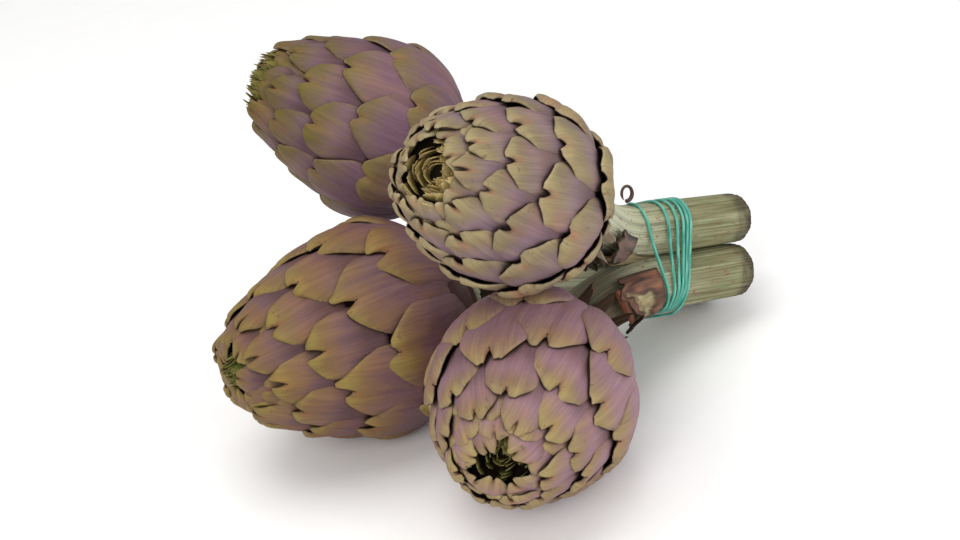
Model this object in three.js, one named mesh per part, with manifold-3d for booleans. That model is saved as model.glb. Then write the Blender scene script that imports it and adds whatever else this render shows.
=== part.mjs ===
// A bunch of four violet artichokes, lying down, tied at the stems by one elastic band.
// Millimetres, +Z up. The bunch rests on z = 0 on two bellies and on the end of one stem, and its
// bundle of stems points along +X, sloping down.
import * as THREE from 'three';
import { mergeVertices } from 'three/addons/utils/BufferGeometryUtils.js';
import Module from 'manifold-3d';

const wasm = await Module();
wasm.setup();

const { PI, cos, max, min, sin } = Math;
const { degToRad, lerp, smoothstep } = THREE.MathUtils;
const GOLDEN_ANGLE = PI * (3 - Math.sqrt(5));
const UP = new THREE.Vector3(0, 0, 1);

// ---------------------------------------------------------------- driving dimensions

const CLEARANCE = 0.35; // gap between two separate pieces that touch

// Each head: where its stem meets it, where its mouth points (degrees), its size over the bract
// tips, and its spiral of bracts: turned by an angle (degrees), right-handed or left-handed.
const HEADS = {
  a: { base: [29.3, 52.1, 83], azimuth: 144, elevation: 35.5, length: 104, radius: 41, spin: 45, hand: -1 },
  b: { base: [8.3, -46.6, 102], azimuth: -162, elevation: 35.5, length: 102, radius: 38.8, spin: 315, hand: 1 },
  c: { base: [-4.6, 22.9, 37.6], azimuth: 178, elevation: 10, length: 118, radius: 47.8, spin: 288, hand: -1 },
  d: { base: [-2.2, -40.9, 36.7], azimuth: -142.4, elevation: 7.6, length: 104.5, radius: 43.6, spin: 213, hand: -1 },
};

// The outline that all heads share, as fractions of a head's length and radius.
const WIDEST_AT = 0.4;
const BASE_RADIUS = 0.27;
const MOUTH_RADIUS = 0.32;
const PROFILE_STEPS = 80;

// Bracts, placed on one spiral from the stem to the mouth. Lower ones lie over upper ones.
const BRACTS = 48;
const FIRST_TIP = 13; // distance on the outline from the stem to the lowest tip
const CROWDING = 0.4; // how much closer the bracts stand at the mouth than at the stem
const BRACT_HALF_ANGLE = 0.43; // radians about the head's axis, at the widest
const LONGEST_BRACT = 0.46; // fractions of the head's length
const SHORTEST_BRACT = 0.26;
const BRACT_RISE = 0.12; // how much a bract stands out from root to tip, per length
const EDGE_DROP = 0.15; // a side edge hugs the head closer than the middle does
const CORE_DEPTH = 3.2; // below the outline
const BRACT_DEPTH = 8; // below the outline: a bract's inner face, sunk in the core
const CORE_SIDES = 16;

// Small bracts that stand inside the mouth.
const MOUTH_BRACTS = 7;
const MOUTH_DEPTH = 13;
const MOUTH_BRACT_WIDTH = 11;
const MOUTH_BRACT_THICKNESS = 1;

// A bract's rows from its root to its tip: how far along the middle and the sides lie, and the
// share of the full width. The middle of the last row stays back: the notch between two lobes.
const BRACT_ROWS = [
  { middle: 0, side: 0, width: 0.7 },
  { middle: 0.58, side: 0.58, width: 1 },
  { middle: 0.9, side: 1, width: 0.3 },
];

// The bundle of stems. Distances along it are measured on its axis, from its start.
const BUNDLE_START = new THREE.Vector3(43.3, -20.9, 51);
const BUNDLE_SLOPE = degToRad(-18.6);
const BUNDLE_ROLL = degToRad(15.5);
const BUNDLE_LENGTH = 73.5;
const STEM_SPACING = 12.1; // from the bundle's axis to a stem's axis, both up and across
const STEMS = {
  a: { radius: 10.8, up: 0.76, near: -1, parallelFrom: 20, trim: -1.5 },
  b: { radius: 11.1, up: 1, near: 1, parallelFrom: 12, trim: 0 },
  c: { radius: 11.3, up: -1.29, near: -1, parallelFrom: 16, trim: 1.5 },
  d: { radius: 12, up: -0.97, near: 1, parallelFrom: 18, trim: -1 },
};
const STEM_RIBS = 9;
const RIB_HEIGHT = 0.35;
const STEM_STEPS = 10;
const FLARE = 0.2; // share by which a stem widens where it meets its head
const FLARE_LENGTH = 0.12; // share of the stem's length

// The elastic band: turns side by side, pulled back where they cross the top of stem b.
const BAND_TURNS = 6;
const BAND_BEND = 30; // degrees between its corners where it bends round a stem
const BAND_START = 225; // degrees from the bundle's top towards its near side
const BAND_HALF_WIDTH = 0.72;
const BAND_HALF_THICKNESS = 0.6;
const BAND_FROM = 21.2; // along the bundle
const BAND_PITCH = 1.6;
const BAND_TILT = 0.18; // how much further along it lies, per distance up
const BAND_FAN = [18, 7.4, 3.6, 1.3, 0.5, 0]; // how far each turn is pulled back
const FAN_RISE = [0.3, 0.46]; // shares of one turn
const FAN_FALL = [0.5, 0.79];
const BAND_GAP = 1.35; // from a stem's mean surface to the band, over ribs and facets
const BAND_LIFT = 1.7; // where the band crosses its own turns
const LIFTING = [0.2, 0.3]; // turns before the end
const CROSSING = [0.05, 0.2];

// Withered remnants of leaf stalks on two stems, as shares of the stem's length and angles about
// its axis, from the far side upwards. The curl is a dry shred on top of stem b.
const STALK_STUBS = {
  b: { from: 0.23, to: 0.4, middle: degToRad(236), halfSpread: degToRad(42), thickness: 3, standOff: 3 },
  d: { from: 0.33, to: 0.49, middle: degToRad(197), halfSpread: degToRad(54), thickness: 4.5, standOff: 3 },
};
const STUB_GAP = 1.2; // from a stem's mean surface to the stub, over ribs and facets
const STUB_STEPS = 4;
const STUB_SIDES = 6;
const CURL_RADIUS = 3.2;
const CURL_HALF_THICKNESS = 0.7;
const CURL_AT = 6.5; // along the bundle
const CURL_GAP = 2.9; // from the stem's mean surface to the curl, which stands on the band
const CURL_BACK = 1.5; // from the top of stem b to the far side
const CURL_LEAN = 2; // how far its loose end stands to the near side
const CURL_STEPS = 11;

const MATERIALS = {
  bract: new THREE.MeshStandardMaterial({ color: 0x7d6068, roughness: 0.62, metalness: 0 }),
  stem: new THREE.MeshStandardMaterial({ color: 0x98a06c, roughness: 0.7, metalness: 0 }),
  band: new THREE.MeshStandardMaterial({ color: 0x3f9d83, roughness: 0.45, metalness: 0 }),
  withered: new THREE.MeshStandardMaterial({ color: 0x5b3a28, roughness: 0.8, metalness: 0 }),
};

// ---------------------------------------------------------------- solids

function toManifold(geometry) {
  const bare = geometry.clone();
  bare.deleteAttribute('normal');
  bare.deleteAttribute('uv');
  const merged = mergeVertices(bare, 1e-4);
  return new wasm.Manifold(new wasm.Mesh({
    numProp: 3,
    vertProperties: new Float32Array(merged.attributes.position.array),
    triVerts: new Uint32Array(merged.index.array),
  }));
}

function toGeometry(solid) {
  const mesh = solid.getMesh();
  const geometry = new THREE.BufferGeometry();
  geometry.setAttribute('position', new THREE.BufferAttribute(mesh.vertProperties, 3));
  geometry.setIndex(new THREE.BufferAttribute(mesh.triVerts, 1));
  geometry.computeVertexNormals();
  return geometry;
}

// The one main body: hollows that fusing sealed are filled and loose scraps are dropped.
function mainBody(solid) {
  return solid.decompose().reduce((best, body) => (body.volume() > best.volume() ? body : best));
}

// Everything below the surface on which the bunch lies.
function belowSurface() {
  const block = new THREE.BoxGeometry(800, 800, 100);
  return block.translate(0, 0, -50);
}

function fromTriangles(points, triangles) {
  const geometry = new THREE.BufferGeometry();
  geometry.setAttribute('position', new THREE.Float32BufferAttribute(points.flatMap((p) => p.toArray()), 3));
  geometry.setIndex(triangles);
  geometry.computeVertexNormals();
  return geometry;
}

// The walls between neighbouring rings of points, all rings with the same number of points.
function ringWalls(ringCount, sides, closed) {
  const triangles = [];
  const spans = closed ? ringCount : ringCount - 1;
  for (let ring = 0; ring < spans; ring += 1) {
    const here = ring * sides;
    const next = ((ring + 1) % ringCount) * sides;
    for (let side = 0; side < sides; side += 1) {
      const after = (side + 1) % sides;
      triangles.push(here + side, here + after, next + after);
      triangles.push(here + side, next + after, next + side);
    }
  }
  return triangles;
}

// A solid swept through stations, each with a point, a forward and an outward direction, and an
// outline of (across, outward) pairs that runs counterclockwise as seen from ahead.
function sweep(stations, closed = false) {
  const points = stations.flatMap(({ point, forward, outward, outline }) => {
    const across = new THREE.Vector3().crossVectors(outward, forward).normalize();
    const out = new THREE.Vector3().crossVectors(forward, across).normalize();
    return outline.map((p) => point.clone().addScaledVector(across, p.x).addScaledVector(out, p.y));
  });
  const sides = stations[0].outline.length;
  const triangles = ringWalls(stations.length, sides, closed);
  if (!closed) {
    const last = (stations.length - 1) * sides;
    for (const [a, b, c] of THREE.ShapeUtils.triangulateShape(stations[0].outline, [])) {
      triangles.push(a, c, b);
    }
    for (const [a, b, c] of THREE.ShapeUtils.triangulateShape(stations.at(-1).outline, [])) {
      triangles.push(last + a, last + b, last + c);
    }
  }
  return fromTriangles(points, triangles);
}

function circle(sides, radiusAt) {
  return Array.from({ length: sides }, (_, side) => {
    const angle = (side / sides) * 2 * PI;
    const radius = radiusAt(side);
    return new THREE.Vector2(radius * cos(angle), radius * sin(angle));
  });
}

// ---------------------------------------------------------------- heads

// Radius of a head's outline, from 0 to 1, at a share of its length.
function outlineRadius(height) {
  if (height < WIDEST_AT) {
    const below = (WIDEST_AT - height) / WIDEST_AT;
    return max(BASE_RADIUS, (1 - below ** 2.2) ** (1 / 1.9));
  }
  const above = (height - WIDEST_AT) / (1 - WIDEST_AT);
  return MOUTH_RADIUS + (1 - MOUTH_RADIUS) * (1 - above ** 1.42) ** (1 / 1.28);
}

// A head's outline as a list of points (radius, height) with the distance travelled to each.
function headProfile({ length, radius }) {
  const profile = [];
  for (let step = 0; step <= PROFILE_STEPS; step += 1) {
    const height = (1 - cos((step / PROFILE_STEPS) * PI)) / 2;
    const point = new THREE.Vector2(radius * outlineRadius(height), length * height);
    const previous = profile.at(-1);
    const distance = previous ? previous.distance + point.distanceTo(previous.point) : 0;
    profile.push({ point, distance });
  }
  return profile;
}

// The point at a distance on the outline, moved outwards from it by an offset.
function onProfile(profile, distance, offset) {
  const next = max(1, profile.findIndex((entry) => entry.distance >= distance));
  const [from, to] = [profile[next - 1], profile[next]];
  const share = (distance - from.distance) / (to.distance - from.distance);
  const along = to.point.clone().sub(from.point).normalize();
  const outwards = new THREE.Vector2(along.y, -along.x);
  return from.point.clone().lerp(to.point, share).addScaledVector(outwards, offset);
}

// A notched blade about the head's axis. outside(along, drop) and inside(along) give the
// (radius, height) of its two faces.
function bract(outside, inside, angle, halfAngle) {
  const columns = [-1, 0, 1];
  const face = (place) => BRACT_ROWS.flatMap((row) => columns.map((column) => {
    const along = column === 0 ? row.middle : row.side;
    const spot = place(along, column === 0 ? 0 : EDGE_DROP);
    const turn = angle + column * row.width * halfAngle;
    return new THREE.Vector3(spot.x * cos(turn), spot.x * sin(turn), spot.y);
  }));
  const rows = BRACT_ROWS.length;
  const width = columns.length;
  const inner = rows * width;
  const triangles = [];
  for (let row = 0; row + 1 < rows; row += 1) {
    for (let column = 0; column + 1 < width; column += 1) {
      const low = row * width + column;
      const high = low + width;
      // Both halves of a row are split alike, towards the middle of the row above.
      const split = column === 0
        ? [[low, low + 1, high + 1], [low, high + 1, high]]
        : [[low, low + 1, high], [low + 1, high + 1, high]];
      for (const [a, b, c] of split) {
        triangles.push(a, b, c, inner + a, inner + c, inner + b);
      }
    }
  }
  const rim = [0, 1, 2, 5, 8, 7, 6, 3];
  rim.forEach((a, index) => {
    const b = rim[(index + 1) % rim.length];
    triangles.push(a, inner + b, b, a, inner + a, inner + b);
  });
  return fromTriangles([...face(outside), ...face(inside)], triangles);
}

function headCore(profile, { length }) {
  const total = profile.at(-1).distance;
  const base = profile[0].point.x;
  const points = [new THREE.Vector2(0, 0), new THREE.Vector2(base, 0)];
  for (const share of [0.08, 0.2, 0.35, 0.5, 0.65, 0.8, 0.93]) {
    points.push(onProfile(profile, share * total, -CORE_DEPTH));
  }
  const rim = points.at(-1);
  points.push(new THREE.Vector2(rim.x * 0.55, length - MOUTH_DEPTH));
  points.push(new THREE.Vector2(0, length - MOUTH_DEPTH));
  return new THREE.LatheGeometry(points, CORE_SIDES).rotateX(PI / 2);
}

// One bract of the outer spiral, from 0 at the stem to 1 at the mouth.
function outerBract(profile, head, share, angle) {
  const total = profile.at(-1).distance;
  const spiral = (1 + CROWDING) * share - CROWDING * share * share;
  const tip = lerp(FIRST_TIP, total - 0.5, spiral);
  const span = head.length * lerp(LONGEST_BRACT, SHORTEST_BRACT, tip / total);
  const root = max(0.5, tip - span);
  const outside = (along, drop) => {
    const below = (1 - along) * (tip - root) * BRACT_RISE + drop;
    return onProfile(profile, lerp(root, tip, along), -below);
  };
  const inside = (along) => onProfile(profile, lerp(root, tip, along), -BRACT_DEPTH);
  return bract(outside, inside, angle, BRACT_HALF_ANGLE);
}

// One small bract inside the mouth, from 0 at its rim to 1 at its middle.
function mouthBract(profile, head, share, angle) {
  const radius = lerp(0.78, 0.24, share) * profile.at(-1).point.x;
  const foot = new THREE.Vector2(radius + 1, head.length - MOUTH_DEPTH - 2);
  const tip = new THREE.Vector2(radius - 0.6, head.length - lerp(1.5, 7, share));
  const halfAngle = min(1.2, MOUTH_BRACT_WIDTH / 2 / radius);
  const outside = (along) => foot.clone().lerp(tip, along);
  const inside = (along) => outside(along).setX(outside(along).x - MOUTH_BRACT_THICKNESS);
  return bract(outside, inside, angle, halfAngle);
}

function headDirection({ azimuth, elevation }) {
  const turn = degToRad(azimuth);
  const rise = degToRad(elevation);
  return new THREE.Vector3(cos(rise) * cos(turn), cos(rise) * sin(turn), sin(rise));
}

function makeHead(name) {
  const head = HEADS[name];
  const profile = headProfile(head);
  const blades = [];
  for (let index = 0; index < BRACTS; index += 1) {
    blades.push(outerBract(profile, head, index / (BRACTS - 1), head.hand * index * GOLDEN_ANGLE));
  }
  for (let index = 0; index < MOUTH_BRACTS; index += 1) {
    const angle = head.hand * (BRACTS + index) * GOLDEN_ANGLE;
    blades.push(mouthBract(profile, head, index / (MOUTH_BRACTS - 1), angle));
  }

  const mesh = new THREE.Mesh(new THREE.BufferGeometry(), MATERIALS.bract);
  mesh.name = `head_${name}`;
  mesh.position.set(...head.base);
  mesh.quaternion.setFromUnitVectors(UP, headDirection(head));
  mesh.rotateZ(degToRad(head.spin));
  mesh.updateMatrixWorld();

  const solids = [headCore(profile, head), ...blades].map(toManifold);
  const fused = wasm.Manifold.union(solids);
  const surface = toManifold(belowSurface().applyMatrix4(mesh.matrixWorld.clone().invert()));
  mesh.geometry = toGeometry(mainBody(fused.subtract(surface)));
  return mesh;
}

// ---------------------------------------------------------------- stems

const BUNDLE_FORWARD = new THREE.Vector3(cos(BUNDLE_SLOPE), 0, sin(BUNDLE_SLOPE));
const BUNDLE_UP = new THREE.Vector3(-sin(BUNDLE_SLOPE), 0, cos(BUNDLE_SLOPE))
  .applyAxisAngle(BUNDLE_FORWARD, -BUNDLE_ROLL);
const BUNDLE_NEAR = new THREE.Vector3().crossVectors(BUNDLE_UP, BUNDLE_FORWARD).negate();

// A point of the bundle, by its distance along it, up from its axis and towards its near side.
function inBundle(along, up, near) {
  return BUNDLE_START.clone()
    .addScaledVector(BUNDLE_FORWARD, along)
    .addScaledVector(BUNDLE_UP, up)
    .addScaledVector(BUNDLE_NEAR, near);
}

// A stem's axis: out of its head, in one bend to its place in the bundle, then straight.
function stemAxis(name) {
  const { up, near, parallelFrom, trim } = STEMS[name];
  const away = headDirection(HEADS[name]).negate();
  const start = new THREE.Vector3(...HEADS[name].base).addScaledVector(away, CLEARANCE);
  const joins = inBundle(parallelFrom, up * STEM_SPACING, near * STEM_SPACING);
  const end = inBundle(BUNDLE_LENGTH + trim, up * STEM_SPACING, near * STEM_SPACING);
  const reach = start.distanceTo(joins) * 0.4;
  const path = new THREE.CurvePath();
  path.add(new THREE.CubicBezierCurve3(
    start,
    start.clone().addScaledVector(away, reach),
    joins.clone().addScaledVector(BUNDLE_FORWARD, -reach),
    joins,
  ));
  path.add(new THREE.LineCurve3(joins, end));
  return path;
}

function station(path, share, outline) {
  return {
    point: path.getPointAt(share),
    forward: path.getTangentAt(share),
    outward: BUNDLE_UP,
    outline,
  };
}

function makeStem(name) {
  const { radius } = STEMS[name];
  const path = stemAxis(name);
  const stations = [];
  for (let step = 0; step <= STEM_STEPS; step += 1) {
    const share = step / STEM_STEPS;
    const flare = 1 + FLARE * (1 - smoothstep(share, 0, FLARE_LENGTH));
    const ribbed = circle(2 * STEM_RIBS, (side) => flare * radius + (side % 2 ? -RIB_HEIGHT : RIB_HEIGHT));
    stations.push(station(path, share, ribbed));
  }
  const solid = toManifold(sweep(stations)).subtract(toManifold(belowSurface()));
  const mesh = new THREE.Mesh(toGeometry(solid), MATERIALS.stem);
  mesh.name = `stem_${name}`;
  return mesh;
}

// ---------------------------------------------------------------- elastic band

// How far the band is pulled back over stem b, from 0 to 1, at a share of one turn.
function fanShare(share) {
  return smoothstep(share, ...FAN_RISE) * (1 - smoothstep(share, ...FAN_FALL));
}

// The stem whose outside is reached first from a direction round the bundle, in degrees.
function outermostStem(degrees) {
  const outward = new THREE.Vector3()
    .addScaledVector(BUNDLE_UP, cos(degToRad(degrees)))
    .addScaledVector(BUNDLE_NEAR, sin(degToRad(degrees)));
  const corners = Object.entries(STEMS).map(([name, { radius, up, near }]) => {
    const middle = inBundle(0, up * STEM_SPACING, near * STEM_SPACING);
    return { name, outward, middle, radius, reach: middle.dot(outward) + radius };
  });
  return corners.reduce((best, corner) => (corner.reach > best.reach ? corner : best));
}

// The places where one turn of the band bends, each with its share of the way round: it bends
// round the outside of each stem and runs straight from stem to stem.
function bandBends() {
  const height = BAND_GAP + BAND_HALF_THICKNESS;
  const surface = ({ middle, outward, radius }) => middle.clone().addScaledVector(outward, radius + height);
  const bends = [];
  let walked = 0;
  for (let turned = 0; turned < 360; turned += 1) {
    const [before, here, after] = [-1, 0, 1].map((step) => outermostStem(BAND_START + turned + step));
    if (turned % BAND_BEND === 0 || before.name !== here.name || after.name !== here.name) {
      bends.push({ ...here, share: walked });
    }
    walked += surface(here).distanceTo(surface(after));
  }
  return bends.map((bend) => ({ ...bend, share: bend.share / walked }));
}

// The middle of the band at a bend of one of its turns. All turns are one spiral, which in its
// last part crosses back over its own turns, under the bundle, to where it began.
function bandPoint(turn, { middle, outward, radius, share }) {
  const turns = turn + share;
  const left = BAND_TURNS - turns;
  const crossed = 1 - smoothstep(left, ...CROSSING);
  const lift = left < 0.5 ? 1 - smoothstep(left, ...LIFTING) : 1 - smoothstep(turns, -0.05, 0.05);
  const height = radius + BAND_GAP + BAND_HALF_THICKNESS + lift * BAND_LIFT;
  const point = middle.clone().addScaledVector(outward, height);
  const along = BAND_FROM + BAND_PITCH * (turns - BAND_TURNS * crossed)
    + BAND_TILT * point.clone().sub(BUNDLE_START).dot(BUNDLE_UP)
    - BAND_FAN[turn] * fanShare(share);
  return point.addScaledVector(BUNDLE_FORWARD, along);
}

function makeBand() {
  const bends = bandBends();
  const corners = [[1, -1], [1, 1], [-1, 1], [-1, -1]];
  const outline = corners.map(([x, y]) => new THREE.Vector2(x * BAND_HALF_WIDTH, y * BAND_HALF_THICKNESS));
  const route = BAND_FAN.flatMap((_, turn) => bends.map((bend) => ({
    point: bandPoint(turn, bend),
    outward: bend.outward,
  })));
  const stations = route.map(({ point, outward }, step) => ({
    point,
    forward: route[(step + 1) % route.length].point.clone().sub(route.at(step - 1).point).normalize(),
    outward,
    outline,
  }));
  const mesh = new THREE.Mesh(sweep(stations, true), MATERIALS.band);
  mesh.name = 'elastic_band';
  return mesh;
}

// ---------------------------------------------------------------- withered remnants

// What is left of a leaf's stalk: a crescent that clasps its stem and stands off at its cut end.
function makeStalkStub(name, { from, to, middle, halfSpread, thickness, standOff }) {
  const { radius } = STEMS[name];
  const path = stemAxis(name);
  const stations = [];
  for (let step = 0; step <= STUB_STEPS; step += 1) {
    const share = step / STUB_STEPS;
    const inner = radius + STUB_GAP + standOff * (1 - share) ** 2;
    const turns = Array.from({ length: STUB_SIDES + 1 }, (_, side) => side / STUB_SIDES * 2 - 1);
    const arc = (radiusAt) => turns.map((turn) => {
      const angle = middle + turn * halfSpread;
      return new THREE.Vector2(radiusAt(turn) * cos(angle), radiusAt(turn) * sin(angle));
    });
    const outer = arc((turn) => inner + thickness * (0.25 + 0.75 * (1 - turn * turn)));
    stations.push(station(path, lerp(from, to, share), [...outer, ...arc(() => inner).reverse()]));
  }
  const mesh = new THREE.Mesh(sweep(stations), MATERIALS.withered);
  mesh.name = `stalk_stub_${name}`;
  return mesh;
}

// A thin dry shred that stands in a curl on top of stem b.
function makeCurl() {
  const foot = STEM_SPACING + STEMS.b.radius + CURL_GAP + CURL_HALF_THICKNESS;
  const outline = circle(6, () => CURL_HALF_THICKNESS);
  const stations = [];
  for (let step = 0; step <= CURL_STEPS; step += 1) {
    const share = step / CURL_STEPS;
    const angle = lerp(-0.5, 1.25, share) * PI;
    const radius = CURL_RADIUS * (1 + 0.1 * share);
    const along = CURL_AT + radius * cos(angle);
    const up = foot + CURL_RADIUS + radius * sin(angle);
    const slope = new THREE.Vector3()
      .addScaledVector(BUNDLE_FORWARD, -sin(angle))
      .addScaledVector(BUNDLE_UP, cos(angle));
    const point = inBundle(along, up, STEM_SPACING - CURL_BACK + CURL_LEAN * share);
    stations.push({ point, forward: slope, outward: BUNDLE_NEAR, outline });
  }
  const mesh = new THREE.Mesh(sweep(stations), MATERIALS.withered);
  mesh.name = 'dry_curl';
  return mesh;
}

// ---------------------------------------------------------------- the bunch

const bunch = new THREE.Group();
for (const name of Object.keys(HEADS)) {
  bunch.add(makeHead(name), makeStem(name));
}
for (const [name, stub] of Object.entries(STALK_STUBS)) {
  bunch.add(makeStalkStub(name, stub));
}
bunch.add(makeBand(), makeCurl());

export default bunch;
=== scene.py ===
"""Looks of a tied bunch of four violet artichokes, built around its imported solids.

Shapes are worked out in millimetres, and add_piece turns them into metres. The driving dimensions
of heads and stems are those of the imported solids. Angles are in radians, except where a comment
says degrees.
"""

import math

import bpy
import numpy as np
from mathutils import Matrix, Quaternion, Vector


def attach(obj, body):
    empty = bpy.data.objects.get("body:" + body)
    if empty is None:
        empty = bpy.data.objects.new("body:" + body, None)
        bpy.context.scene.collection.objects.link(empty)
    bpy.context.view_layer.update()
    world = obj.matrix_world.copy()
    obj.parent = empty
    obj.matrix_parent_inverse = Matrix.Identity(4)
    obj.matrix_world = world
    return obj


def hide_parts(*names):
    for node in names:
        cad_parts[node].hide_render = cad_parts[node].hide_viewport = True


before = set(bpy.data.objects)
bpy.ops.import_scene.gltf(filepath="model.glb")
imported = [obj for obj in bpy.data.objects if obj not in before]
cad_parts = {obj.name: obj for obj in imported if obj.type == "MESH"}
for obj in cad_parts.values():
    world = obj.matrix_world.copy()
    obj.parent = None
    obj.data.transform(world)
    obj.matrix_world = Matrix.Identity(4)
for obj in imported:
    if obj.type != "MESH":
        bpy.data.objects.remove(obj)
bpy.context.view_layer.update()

MM = 0.001
UP = Vector((0, 0, 1))
FULL_TURN = 2 * math.pi
GOLDEN_ANGLE = math.pi * (3 - math.sqrt(5))

# ---- dimensions, in millimetres

CLEARANCE = 0.35  # between a head and its stem

# Each head: where its stem meets it, where its mouth points (degrees), its size, and its spiral of
# bracts: turned by an angle (degrees), right-handed or left-handed.
HEADS = {
    "a": dict(base=(29.3, 52.1, 83), azimuth=144, elevation=35.5, length=104, radius=41, spin=45, hand=-1),
    "b": dict(
        base=(8.3, -46.6, 102), azimuth=-162, elevation=35.5, length=102, radius=38.8, spin=315, hand=1,
    ),
    "c": dict(base=(-4.6, 22.9, 37.6), azimuth=178, elevation=10, length=118, radius=47.8, spin=288, hand=-1),
    "d": dict(
        base=(-2.2, -40.9, 36.7), azimuth=-142.4, elevation=7.6, length=104.5, radius=43.6, spin=213, hand=-1,
    ),
}

# A head's outline, in shares of its length and radius.
WIDEST_AT = 0.4
BASE_RADIUS = 0.27
MOUTH_RADIUS = 0.32
LOWER_POWERS = (2.2, 1 / 1.9)
UPPER_POWERS = (1.42, 1 / 1.28)
PROFILE_STEPS = 400

# The spiral of bracts on a head. The collar goes on with it, under the last ones, round the mouth.
BRACTS = 48
COLLAR_BRACTS = 30
COLLAR_REACH = 27
FIRST_TIP = 13
LOWEST_ROW = 15  # as many bracts reach down to the stem
CROWDING = 0.4
BRACT_HALF_ANGLE = 0.43
LEAST_HALF_WIDTH = 6
BRACT_LENGTHS = (0.46, 0.26)  # from foot to mouth, in shares of the head's length
COLLAR_LENGTHS = (0.26, 0.19)

# A bract's form. It rises from root to tip, is plump in the middle, thin at its margin and folded
# in at its notch.
BRACT_RISE = 0.085
PLUMPEST = 2.0
PLUMPNESS = 0.045
BRACT_THICKNESS = 1.6
MARGIN_THICKNESS = 0.8
MARGIN_DROP = 0.9
FOLD_DEPTH = 0.7
FINE_WAVE = 0.1
WIDE_WAVE = 0.4
SHOULDER_DROP = 0.19
SCRAP_THICKNESS = 0.8
THORN_RADIUS = 0.45
THORN_SINK = 0.6
THORN_SIDES = 6

# How far the rims of sheets swell, in shares of their thickness.
BRACT_RIM = 0.35
THIN_RIM = 0.3
DRY_RIM = 0.25

# The core inside the bracts, and the floor of the mouth.
CORE_DEPTH = 4.2
CORE_SIDES = 48
CORE_RINGS = 24
MOUTH_DEPTH = 13

# Bracts are grids of columns across and rows from root to tip. Columns stand closer in the middle,
# by the notch, and rows stand closer at the tip.
OUTER_GRID = (29, 19)
COLLAR_GRID = (17, 13)
MOUTH_GRID = (11, 9)
COLUMN_CROWDING = 1.12
ROW_CROWDING = 1.35

# The bundle of stems. Painted shade darkens a stem where it leaves its head, as much as its head shade.
BUNDLE_START = Vector((43.3, -20.9, 51))
BUNDLE_SLOPE = math.radians(-18.6)
BUNDLE_ROLL = math.radians(15.5)
BUNDLE_LENGTH = 73.5
STEM_SPACING = 12.1
STEMS = {
    "a": dict(radius=10.8, up=0.76, near=-1, parallel_from=20, trim=-1.5, dull=0.7),
    "b": dict(radius=11.1, up=1, near=1, parallel_from=12, trim=0, dull=0),
    "c": dict(radius=11.3, up=-1.29, near=-1, parallel_from=16, trim=1.5, dull=0.5),
    "d": dict(radius=12, up=-0.97, near=1, parallel_from=18, trim=-1, dull=0.85),
}
STEM_RIBS = 9
RIB_HEIGHT = 0.28
FINE_RIBS = (26, 43)
FINE_RIB_HEIGHTS = (0.17, 0.13)
STEM_SIDES = 108
STEM_STEPS = 70
FLARE = 0.2
FLARE_LENGTH = 0.12
STEM_FULLNESS = 0.3
END_ROUNDING = 3.0
END_RINGS = (0.62, 0.45, 0.25, 0.02)  # on the cut end, in shares of the stem's radius

# The elastic band is one closed loop. Its turns fan out on one side of the bundle, and the last
# one is lifted and crosses back over the others. Ranges are in turns.
BAND_TURNS = 6
BAND_STEPS_PER_TURN = 90
BAND_SIDES = 12
BAND_TRACE_STEPS = 720
BAND_START = math.radians(225)
BAND_HALF_WIDTH = 0.72
BAND_HALF_THICKNESS = 0.6
BAND_ROUNDNESS = 0.7
BAND_GRAIN_RADIUS = 0.8
BAND_FROM = 21.2
BAND_PITCH = 1.6
BAND_TILT = 0.18
BAND_FAN = (18, 7.4, 3.6, 1.3, 0.5, 0)
FAN_RISE = (0.3, 0.46)
FAN_FALL = (0.5, 0.79)
BAND_GAP = 0.75
BAND_LIFT = 1.7
STARTING = (-0.05, 0.05)
LIFTING = (0.2, 0.3)
CROSSING = (0.05, 0.2)

# Withered remnants. Places along a stem are shares of its length, and angles round it are degrees.
# A stub may have a cup where its stalk broke off, a rolled strip, and a flake along the stem.
STALK_STUBS = {
    "b": dict(
        start=0.23, end=0.4, middle=240, half_spread=47, thickness=3, stand_off=3, mauve=0.7, cup=0,
        flake=dict(start=0.40, end=0.55, middle=250, half_spread=30),
    ),
    "d": dict(
        start=0.33, end=0.49, middle=197, half_spread=54, thickness=4.5, stand_off=3, mauve=0, cup=3.2,
        roll=dict(share=0.318, slant=0.02, first=158, last=218, height=4.6, size=3.3),
    ),
}
STUB_GAP = 0.6
STUB_SKIN = 1.2
ROLL_SKIN = 0.7
FLAKE_THICKNESS = 0.8
ROLL_TURN = math.radians(300)
STUB_GRID = (37, 23)
ROLL_GRID = (25, 21)
FLAKE_GRID = (15, 13)
CURL_RADIUS = 3.2
CURL_HALF_THICKNESS = 0.9
CURL_TURN = (-0.5 * math.pi, 1.25 * math.pi)
CURL_SIDES = 14
CURL_STEPS = 60
CURL_AT = 6.9
CURL_GAP = 1.8
CURL_BACK = 0.6
CURL_LEAN = 1.2
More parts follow.
